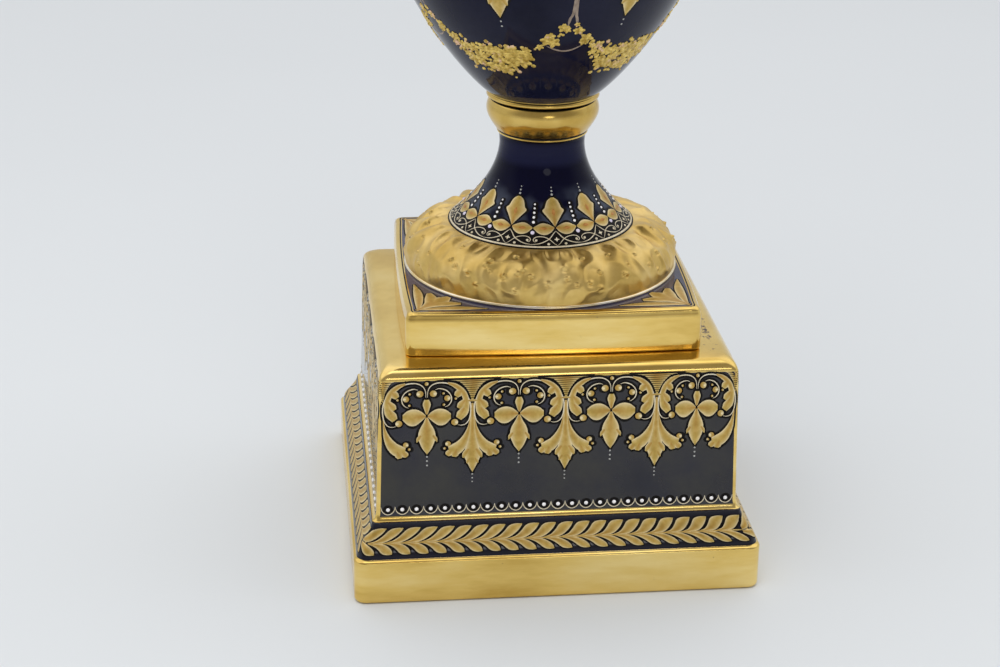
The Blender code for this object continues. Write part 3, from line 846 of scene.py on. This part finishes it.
# ---------------------------------------------------------------------------------------------------
# Wreath.  Moulded in the foot's casting and wholly gilt: two rows of broad soft leaves overlap round
# the ring, and here and there the tip of one curls up into a small point over a small hollow, where a
# black patch is painted shadow.
WREATH_ROWS = 92
WREATH_COLUMNS = 880
TIP_RADIUS = 38
WREATH_LENGTH = 21.5
WAVE = 0.42
SWELL = 0.3
CREASE = 0.34
FOLD_LIMIT = 1.5
TIP_BUMP = (0.6, 0.65, 0.1, 0.42)
TIP_PIT = (-0.4, 0.6, -0.72, 0.34)
chance = np.random.default_rng(11)
TIPS = (
    (-32.5, 16.5, 0.8), (-20, 14.5, 1), (-12.5, 17, 1.3), (-33, 11.8, 0.9), (-30.5, 10.5, 1.1),
    (-26, 9.5, 1.2), (-22.8, 6.3, 1.1), (-21, 12.8, 0.9), (-19.5, 11.2, 0.7), (-15, 10, 1.3),
    (-11.2, 6.3, 0.9), (-11, 11.2, 0.9), (-9.5, 12.3, 0.9), (-7.2, 10.8, 1), (-2.5, 8.5, 1.2),
    (2.5, 13, 1.2), (3, 10, 1), (5.5, 8, 0.8), (9.2, 8, 1.1), (12, 6.2, 1.2), (13, 11, 0.9),
    (9.3, 16.3, 0.9), (18.5, 16, 0.8), (20, 9, 0.8), (21, 8.5, 1.1), (23, 11.5, 0.8), (31, 9, 0.8),
    (34.3, 6.3, 1.1), (28, 13.5, 0.7), (37, 11, 0.9),
)
FOLDS = [(chance.integers(9, 31), chance.uniform(-3.4, 3.4), chance.uniform(0, 6.3)) for k in range(24)]


def moulding(turn, rise):
    """Height of the leaves.  Two sums of sines with chance bearings overlap: one is kept as soft
    swells and the other is folded, 1 - |f|, into creases.  Each tip adds a bump exp(-x^2 - y^2) and takes
    away a small pit below it: height, half width, place, half length.  All of it dies away at both edges."""
    waves = [WAVE * np.sin(n * turn + m * math.pi * rise + phase) for n, m, phase in FOLDS]
    swells, creases = sum(waves[::2]), sum(waves[1::2])
    total = SWELL * swells + CREASE * (1 - np.minimum(np.sqrt(creases**2 + 0.01), FOLD_LIMIT)) + 0.1
    for around, along, size in TIPS:
        for third in range(3):
            facing = around / TIP_RADIUS + third * 2 * math.pi / 3 - math.pi / 2
            x = np.arctan2(np.sin(turn - facing), np.cos(turn - facing)) * TIP_RADIUS / size
            y = (rise * WREATH_LENGTH - along) / size
            for height, wide, centre, tall in (TIP_BUMP, TIP_PIT):
                total = total + height * np.exp(-((x / wide) ** 2) - ((y - centre) / tall) ** 2)
    fade = np.clip((rise - 0.06) / 0.2, 0, 1) * np.clip((1 - rise) / 0.14, 0, 1)
    return total * fade


def on_turned(grid, heading, profile, fixed_radius=None):
    """Lays a flat form on a turned piece: its first axis runs round it from a heading in degrees, counted
    from the front to the right, its second follows the profile's slant, and its third stands off it."""
    u, along, out = grid[..., 0], grid[..., 1], grid[..., 2]
    run = slant(profile)
    radius, up = (np.interp(along, run, column) for column in profile.T)
    step = 0.3
    widening, climb = (
        np.interp(along + step, run, column) - np.interp(along - step, run, column) for column in profile.T
    )
    length = np.maximum(np.hypot(widening, climb), 1e-9)
    angle = math.radians(heading) + u / (fixed_radius or radius)
    far = radius + out * climb / length
    height = FOOT_BASE + up - out * widening / length
    return np.stack([far * np.sin(angle), -far * np.cos(angle), height], axis=-1)


turn = np.arange(WREATH_COLUMNS)[None, :] * 2 * math.pi / WREATH_COLUMNS
rise = np.linspace(0, 1, WREATH_ROWS)[:, None]
lowest = math.asin((SLAB_RISE - WREATH_MIDDLE) / WREATH_HEIGHT)
swing = lowest + (math.pi / 2 - lowest) * rise
reach = np.cos(np.maximum(swing, 0))
relief = moulding(turn, rise)
out = WREATH_RING + (WREATH_REACH + relief) * reach
up = FOOT_BASE + WREATH_MIDDLE + (WREATH_HEIGHT + relief) * np.sin(swing)
wreath = {"points": np.stack([out * np.cos(turn), out * np.sin(turn), up], axis=-1), "ring": True}
lifted = WREATH_MIDDLE + WREATH_HEIGHT * np.sin(swing)
wreath_profile = np.hstack([WREATH_RING + WREATH_REACH * reach, lifted])
wreath_length = slant(wreath_profile)[-1]
# Black patches laid in the moulded hollows under the tips: painted shadow.
painted_tip_shadows = []
for third in range(3):
    for around, along, size in TIPS:
        heading = math.degrees(around / TIP_RADIUS) + 120 * third
        pit = blade([(-0.5, -0.5), (0, -0.72), (0.5, -0.5)], [0.1, 0.34, 0.1], crown=0.2, rows=6)
        pit = pit * np.array([size, size, 1]) + np.array([0, along, 0])
        facing = math.radians(heading - 90) + pit[..., 0] / TIP_RADIUS
        pit[..., 2] += moulding(facing, pit[..., 1] / wreath_length)
        painted_tip_shadows.append(on_turned(pit, heading, wreath_profile))
rim_place = (WREATH_RING + WREATH_REACH - 0.1, SLAB_RISE + 0.45)
rim = {"points": turned(quarter(rim_place, 0.62, -50, 100, 9), 256), "ring": True}
satin = mottled("satin_gold", (90.0, 4.0, 0.55), (0.3, (0.58, 0.385, 0.10)), (0.5, (0.73, 0.505, 0.155)),
                (0.7, (0.86, 0.635, 0.25)), rough=(0.33, 0.16, (200.0, 3.0)),
                relief=((220.0, 3.0), 0.1, 0.5), metallic=1.0)
# The polished gilt roll at the wreath's foot is real gilding, coloured a near-white gold: painted highlight.
rim_highlight_gold = mottled("rim_gold_painted_highlight", (110.0, 4.0), (0.35, (0.90, 0.70, 0.36)), (0.65, (0.98, 0.92, 0.80)),
                   rough=(0.10, 0.06, (300.0,)), metallic=1.0)
wreath_layers = {"gilding": [wreath], "rim": [rim], "painted_tip_shadows": painted_tip_shadows}
pieces("wreath_", wreath_layers, (satin, rim_highlight_gold, BLACK))

# ---------------------------------------------------------------------------------------------------
# Painting of the stem: pen lines and interlaced arcs on its black foot, then trefoils of gold leaves
# with rust-coloured hearts, and columns of enamel dots between and above them.
TREFOILS = 11
TREFOIL_PITCH = 360 / TREFOILS
FIRST_TREFOIL = 3.7
ARC_RADIUS = 26


def hoop(along, half, radius):
    """A pen line all the way round a turned piece, to be laid with that fixed radius."""
    w = np.linspace(-1, 1, 5)
    u = np.linspace(0, 2 * math.pi, 241)[:, None] * radius
    columns = np.broadcast_arrays(u, along - half * w, 0.1 * np.sqrt(1 - w**2) - SINK)
    return np.stack(columns, axis=-1)[:, ::-1]


leaf_forms = both(
    [blade([(0.3, 7), (1.6, 6.8), (3.2, 6.65), (4.8, 6.65), (6.4, 6.9)],
           [0.2, 1.4, 2.05, 1.65, 0.25], [0.2, 1.5, 2.15, 1.75, 0.25], rows=18, columns=9)]
) + [blade(upright(7.3, 9, 10.7, 12.3, 13.2, 14.4, 15.5, 16.4),
           [0.05, 1.15, 2.45, 3.6, 2.8, 2.3, 1.7, 0.5], rows=28, columns=9)]
heart_forms = [blade(upright(10.6, 11.8, 13), [0.1, 0.75, 0.1], crown=0.24, rows=6)]
heart_forms += both([blade([(2.3, 6.7), (3.5, 6.75), (4.7, 6.7)], [0.1, 0.7, 0.1], crown=0.24, rows=6)])
arc_forms = both(
    [
        stroke([(0, 5.9), (0.9, 5), (2.1, 3.5), (3.7, 2.5), (5.4, 1.8), (7.45, 1.5)], 0.16, rows=18),
        stroke([(0, 1.15), (0.9, 1.9), (1.9, 3), (3, 3.75), (4.4, 4.15), (5.8, 4.1), (6.7, 3.65), (7, 3),
                (6.6, 2.4), (6.1, 2.5)], 0.14, rows=26),
        bead(6.1, 2.9, 0.42, sides=7),
        bead(2.5, 1.7, 0.42, sides=8),
    ]
)
cross = ([(-0.75, 3.2), (0, 3.2), (0.75, 3.2)], upright(2.5, 3.2, 3.9))
arc_forms += [stroke(spine, 0.25, rows=5) for spine in cross]
tip_dots = [bead(0, 17.3 + 1.05 * k, 0.36 - 0.07 * k, sides=8) for k in range(3)]
column_dots = [bead(0, 8.7 + (1.6 - 0.05 * k) * k, 0.46 - 0.04 * k, crown=0.3) for k in range(5)]
stem_layers = {
    layer: [] for layer in ("leaves", "pen_lines", "outline", "hearts", "dots", "beads", "grey_dots")
}
for k in range(TREFOILS):
    heading = FIRST_TREFOIL + k * TREFOIL_PITCH
    between = heading + TREFOIL_PITCH / 2
    for layer, forms, centre, ring_radius in (
        ("leaves", leaf_forms, heading, None),
        ("outline", outlines(leaf_forms), heading, None),
        ("pen_lines", arc_forms, heading, ARC_RADIUS),
        ("hearts", heart_forms, heading, None),
        ("grey_dots", tip_dots, heading, None),
        ("dots", column_dots, between, None),
        ("outline", outlines(column_dots, 0.45), between, None),
        ("beads", [bead(0, 5.35, 0.62, crown=0.4, sides=12)], between, None),
        ("outline", [bead(0, 5.4, 1.5, crown=2 * DARK_LIFT, sides=14)], between, None),
    ):
        stem_layers[layer] += [on_turned(form, centre, stem_profile, ring_radius) for form in forms]
# The black hoop at the stem's foot, where it meets the wreath's top, is painted shadow of the groove between
# them; the pale hoop above it is a pen line.
for along, half, layer in ((0.75, 0.3, "pen_lines"), (0.1, 0.32, "outline")):
    stem_layers[layer].append(on_turned(hoop(along, half, ARC_RADIUS), 0, stem_profile, ARC_RADIUS))
rust = mottled("rust_enamel", (900.0,), (0.3, (0.42, 0.16, 0.03)), (0.7, (0.58, 0.28, 0.07)),
               metallic=0.4, roughness=0.4)
# The lilac enamel's faint emission is painted light, for the highlights on the large beads.
lilac = enamel("lilac_enamel", (0.80, 0.74, 0.92), 0.15)
pieces("stem_", stem_layers, (PAINT, PEN, BLACK, rust, PEARL, lilac, GREY_DOT))

# ---------------------------------------------------------------------------------------------------
# Corner fans on the slab: five gold leaves spread from each corner towards the wreath.  The forms are
# drawn from one corner outwards, and a leaf across from another is its mirror image in the diagonal.
FAN_ROOT = 40.1
fan = [
    blade([(0.2, 0.9), (7, 1.5), (14, 1.5), (21, 0.8)], [0.3, 1.4, 1.5, 0.2], [0.2, 1.3, 1.4, 0.2], rows=18),
    blade([(0.8, 1.2), (5.5, 4.4), (9.5, 5.2), (13.6, 4.9)], [0.4, 1.9, 2.1, 0.9], [0.4, 1.7, 2.1, 0.9],
          rows=16),
]
fan += [form[:, ::-1][..., [1, 0, 2]] for form in fan]
fan.append(blade([(0.5, 0.5), (4.5, 4.5), (7.8, 7.8), (10.4, 10.4)], [0.3, 1.6, 3, 1], rows=16, columns=9))


def on_slab(grid, corner):
    """Lays a form on the slab's top with its origin at one of the corners."""
    place = spun(grid[..., 0] - FAN_ROOT, grid[..., 1] - FAN_ROOT, corner * math.pi / 2 + FOOT_TURN)
    return np.stack([*place, grid[..., 2] + FOOT_BASE + SLAB_RISE], axis=-1)


fans = {
    layer: [on_slab(form, corner) for corner in range(4) for form in forms]
    for layer, forms in (("", fan), ("_outline", outlines(fan, FINE_LINE)))
}
pieces("slab_fans", fans, (PAINT, BLACK))

# ---------------------------------------------------------------------------------------------------
# Body.  A thin-walled ovoid casting with a gilt line at its base, blue outside and white inside, rising
# over shoulder and neck to a rolled gilt lip.
BODY_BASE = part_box("urn_body")[0].z / MM - FOOT_BASE
BAND_TOP = 66.9
BAND_RADIUS = 16.7
START_RADIUS = 16.4
BELLY_RADIUS = 53
BELLY = 146
URN_NECK_RADIUS = 21.5
URN_NECK = 197
LIP_RADIUS = 31
LIP = 214
LIP_ROLL = 1.9
BODY_WALL = 4
BODY_FLOOR = 7
LIP_GILT_ROWS = 14
OPEN_ROWS = 11
curves = (
    ((START_RADIUS, BAND_TOP), (START_RADIUS + 4.1, BAND_TOP + 1.7),
     (BELLY_RADIUS, BELLY - 42.8), (BELLY_RADIUS, BELLY), 70),
    ((BELLY_RADIUS, BELLY), (BELLY_RADIUS, BELLY + 27), (URN_NECK_RADIUS, URN_NECK - 21),
     (URN_NECK_RADIUS, URN_NECK), 60),
    ((URN_NECK_RADIUS, URN_NECK), (URN_NECK_RADIUS, URN_NECK + 9), (LIP_RADIUS - 4, LIP - 2),
     (LIP_RADIUS - 0.8, LIP - 0.6), 24),
)
belly, shoulder, neck = (bezier(*curve) for curve in curves)
outside = np.vstack([belly, shoulder[1:], neck[1:]])
lean = np.gradient(outside, axis=0)
square_in = np.stack([-lean[:, 1], lean[:, 0]], axis=1) / np.hypot(lean[:, 0], lean[:, 1])[:, None]
floor = BODY_BASE + BODY_FLOOR
inside = (outside + square_in * BODY_WALL)[-OPEN_ROWS - 1::-1]
inside = inside[inside[:, 1] > floor]
band = np.vstack(
    [
        [(0, BODY_BASE), (BAND_RADIUS - 1.3, BODY_BASE)],
        [(BAND_RADIUS - 0.5, BODY_BASE + 0.12)],
        bezier(
            (BAND_RADIUS - 0.1, BODY_BASE + 0.3),
            (BAND_RADIUS + 0.25, BODY_BASE + 0.75),
            (BAND_RADIUS - 0.05, BODY_BASE + 1.25),
            (START_RADIUS - 0.25, BAND_TOP - 0.2),
            8,
        ),
    ]
)
lip_roll = quarter((LIP_RADIUS - 0.4, LIP + 1.1), LIP_ROLL, -60, 150, 14)
body_profile = np.vstack([band, outside, lip_roll, inside, [(START_RADIUS * 0.55, floor), (0, floor)]])
runs = (len(band), len(outside) - LIP_GILT_ROWS, LIP_GILT_ROWS + len(lip_roll), len(inside) + 1)
body_slots = np.repeat([GILT, BLUE, GILT, PLAIN], runs)[:, None]
# The body's underside, in the joint over the collar, is black: painted shade.  The narrow ring at the band's
# top is black as well.
body_slots[:3] = DARK
body_slots[len(band) - 1] = DARK
body = {"points": turned(body_profile), "ring": True, "slots": body_slots}
BODY_COBALT = blue_glaze("body_cobalt_glaze", (0.005, 0.006, 0.024), (0.015, 0.016, 0.036), 0.12)
# The body's gilt band takes the darker collar gold: painted shade under the belly.
solid("body_porcelain", [body], [BODY_COBALT, COLLAR_GOLD, WHITE, BLACK], "urn_body")

# ---------------------------------------------------------------------------------------------------
# Garlands of the body: crescents of small gold blossoms in raised paste, joined by a ribbon and sprigs.
# Each crescent sags from two ends and is thickest at its middle.
GARLANDS = 5
GARLAND_MIDDLE = 38
GARLAND_STEP = 3.9
BLOSSOM_ROW = 3.4
GAP_SHARE = 0.14
GARLAND = np.array(
    [(-25, 28.2, 0), (-20, 26, 1.2), (-14, 23.6, 2.4), (-7, 22.2, 3.2), (0, 21.6, 3.6), (8, 22, 3.4),
     (13, 22.8, 2.6), (18, 24.2, 1.4), (22, 26, 0)]
).T
SPRIGS = (
    (-7.8, 30.8, 2.1), (-5, 30, 2), (-6.6, 32.4, 1.5), (-1.2, 35.6, 1.7), (0.4, 34.9, 1.2), (5.6, 34.4, 1.6),
    (9.6, 31.4, 2), (8.4, 29.9, 1.2), (4.2, 36.8, 0.9), (-11.2, 28.2, 1.2), (13.6, 28.2, 1.2),
)
SPRIG_DOTS = ((-3, 32.6), (-2.2, 33.3), (-1.2, 33), (3.4, 34.6), (7.6, 32.6), (12.2, 29.2))
RIBBONS = (
    (((-8, 28.6), (-4, 27.2), (0, 26.6), (4, 27.1), (8, 28.6)), 0.3),
    (((0.4, 36.4), (0.9, 39), (1.9, 41.6), (2, 52)), 0.42),
    (((4.2, 36.4), (3.6, 39), (3, 41.6), (2.9, 52)), 0.42),
)


def blossom(u, v, size, twist):
    """Five round petals with a bead at their middle."""
    forms = []
    for k in range(5):
        c, s = math.cos(twist + k * 2 * math.pi / 5), math.sin(twist + k * 2 * math.pi / 5)
        spine = [(u + reach * size * c, v + reach * size * s) for reach in (0.05, 0.55, 1.0)]
        forms.append(blade(spine, [0.2, 0.40 * size, 0.15 * size], crown=0.3, rows=6, columns=5))
    forms.append(bead(u, v, 0.3 * size, crown=0.45, sides=7))
    return forms


def blossom_gold():
    """The garlands' paste: bright yellow gold with pale pinkish flecks, which are painted highlights."""
    finish = Finish("blossom_gold", metallic=0.55)
    tone = finish.noise(330.0, 4.0, 0.6)
    yellow = finish.ramp(finish.noise(700.0, 2.0), (0.32, (0.42, 0.27, 0.04)), (0.66, (0.88, 0.66, 0.18)))
    finish.feed(
        # The pale pink flecks mixed in here are painted highlights.
        base_color=finish.mix(finish.ramp(tone, (0.56, 0.0), (0.66, 1.0)), yellow, (0.86, 0.58, 0.40)),
        roughness=0.34 + 0.12 * tone,
    )
    return finish


def aside(degrees, along):
    """The distance round the body that an angle spans at a place on its slant."""
    return math.radians(degrees) * np.interp(along, slant(outside), outside[:, 0])


flowers = []
flower_rounds = []
for step in np.arange(GARLAND[0, 0] + 0.5, GARLAND[0, -1], GARLAND_STEP):
    middle, thick = (np.interp(step, GARLAND[0], GARLAND[k]) for k in (1, 2))
    count = 1 + round(2 * thick / BLOSSOM_ROW)
    for above in np.linspace(-thick, thick, count) if count > 1 else (0.0,):
        v = middle + above + chance.uniform(-1.0, 1.0)
        u = aside(step + chance.uniform(-1.3, 1.3), v)
        size = chance.uniform(1.3, 2.7)
        if chance.uniform() < GAP_SHARE:
            continue
        flowers += blossom(u, v, size, chance.uniform(0, 6.3))
        flower_rounds.append(bead(u, v, size + 0.5, crown=2 * DARK_LIFT, sides=12))
        for bearing in chance.uniform(0, 6.3, 4):
            reach = size + chance.uniform(0.3, 1.5)
            place = (u + reach * math.cos(bearing), v + reach * math.sin(bearing))
            flowers.append(bead(*place, chance.uniform(0.35, 0.8), crown=0.3, sides=7))
sprigs = []
for degrees, along, size in SPRIGS:
    sprigs += blossom(aside(degrees, along), along, size, chance.uniform(0, 6.3))
sprigs += [bead(aside(degrees, along), along, 0.5, sides=7) for degrees, along in SPRIG_DOTS]
ribbons = [stroke([(aside(*place), place[1]) for place in ribbon], half) for ribbon, half in RIBBONS]
garlands = {"garlands": [], "garland_ground": [], "ribbons": []}
for k in range(GARLANDS):
    heading = GARLAND_MIDDLE + k * 360 / GARLANDS
    between = heading + 180 / GARLANDS
    for layer, forms, centre in (
        ("garlands", flowers, heading),
        ("garlands", sprigs, between),
        ("garland_ground", flower_rounds, heading),
        ("ribbons", ribbons, between),
    ):
        garlands[layer] += [on_turned(form, centre, outside) for form in forms]
ribbon_lustre = mottled("ribbon_lustre", (500.0, 3.0), (0.3, (0.22, 0.16, 0.12)), (0.7, (0.42, 0.33, 0.26)),
                        metallic=0.3, roughness=0.4)
pieces("body_", garlands, (blossom_gold(), BLACK, ribbon_lustre))

# ---------------------------------------------------------------------------------------------------
# Border of the body: the plinth's border over again, larger, hung from a gilt line under the belly's
# widest place, with plain gilt lines on the shoulder and the neck.
DROPS = 7
FIRST_DROP = 26.5
DROP_SCALE = np.array([1.62, 1.6, 1.3])
BODY_BORDER_TOP = np.array([0, 84.6, 0])
LINES = ((84.8, 0.5), (87.6, 0.35), (146.5, 0.35), (149, 0.6))
body_layers = {"leaves": [], "pen_lines": [], "outline": [], "dots": []}
for k in range(DROPS):
    drop_at = FIRST_DROP + k * 360 / DROPS
    arch_at = drop_at + 180 / DROPS
    for layer, forms, heading in (
        ("leaves", drop_gold, drop_at),
        ("leaves", arch_gold, arch_at),
        ("pen_lines", arch_pen, arch_at),
        ("dots", [bead(0, up, 0.2, sides=8) for up in (-29.6, -30.7)], drop_at),
        # Black edging round the raised gold: painted shade of its raised edges.
        ("outline", outlines(drop_gold, 0.25) + wedge_dark, drop_at),
        ("outline", outlines(arch_gold + arch_pen, 0.25), arch_at),
    ):
        for form in forms:
            body_layers[layer].append(on_turned(form * DROP_SCALE + BODY_BORDER_TOP, heading, outside))
for along, half in LINES:
    body_layers["pen_lines"].append(on_turned(hoop(along, half, BELLY_RADIUS), 0, outside, BELLY_RADIUS))
pieces("body_", body_layers, (PAINT, PEN, BLACK, GREY_DOT))

# ---------------------------------------------------------------------------------------------------
# Studio.  A pale floor that runs off to the horizon, inside a white light tent that is open, and so
# darker, behind and above the camera.  None of it is part of the urn.
FLOOR_RINGS = np.array([5000, 2500, 1200, 600, 250, 0])[:, None]
FLOOR_COLUMNS = 64
turn = np.arange(FLOOR_COLUMNS) * 2 * math.pi / FLOOR_COLUMNS
floor_points = np.broadcast_arrays(FLOOR_RINGS * np.cos(turn), FLOOR_RINGS * np.sin(turn), 0.0)
floor_grid = {"points": np.stack(floor_points, axis=-1), "ring": True}
paper = mottled("studio_paper", (2.0,), (0.3, (0.722, 0.750, 0.768)), (0.7, (0.744, 0.772, 0.790)),
                roughness=0.8)
studio_floor = grid_object("studio_floor", [floor_grid], [paper])

world = bpy.data.worlds.new("light_tent")
bpy.context.scene.world = world
world.use_nodes = True
tent = Graph(world.node_tree)
direction = tent.coordinates("Generated")
open_side = tent.ramp(0.5 - 0.5 * tent.part(direction, 1), (0.53, 0.0), (0.72, 1.0))
height = tent.part(direction, 2)
open_height = tent.ramp(height, (0.02, 0.0), (0.22, 1.0), (0.92, 1.0), (0.985, 0.0))
stops = (
    (0.0, (0.66, 0.69, 0.71)),
    (0.38, (0.66, 0.68, 0.70)),
    (0.60, (1.10, 1.10, 1.12)),
    (0.80, (1.10, 1.10, 1.12)),
    (0.955, (1.0, 1.0, 1.02)),
    (0.985, (1.7, 1.7, 1.72)),
)
shade = tent.mix(open_side * open_height, tent.ramp(height, *stops), (0.33, 0.32, 0.31))
background = world.node_tree.nodes["Background"]
tent.plug(background.inputs["Color"], shade)
tent.plug(background.inputs["Strength"], 1.0)

AIM = mathutils.Vector((0, 0, 0.08))
LAMPS = (
    ("soft_key", (-0.25, -0.75, 1.3), 1.4, 1.4, 7.7, False),
    ("small_window", (0.122, -1.03, 0.435), 0.34, 0.18, 0.36, True),
)
for name, place, wide, tall, power, mirrored in LAMPS:
    light = bpy.data.lights.new(name, "AREA")
    light.shape = "ELLIPSE"
    light.size = wide
    light.size_y = tall
    light.energy = power
    lamp = bpy.data.objects.new(name, light)
    lamp.location = place
    lamp.rotation_euler = (AIM - lamp.location).to_track_quat("-Z", "Y").to_euler()
    lamp.visible_glossy = mirrored
    bpy.context.scene.collection.objects.link(lamp)
bpy.context.scene.view_settings.view_transform = "Standard"
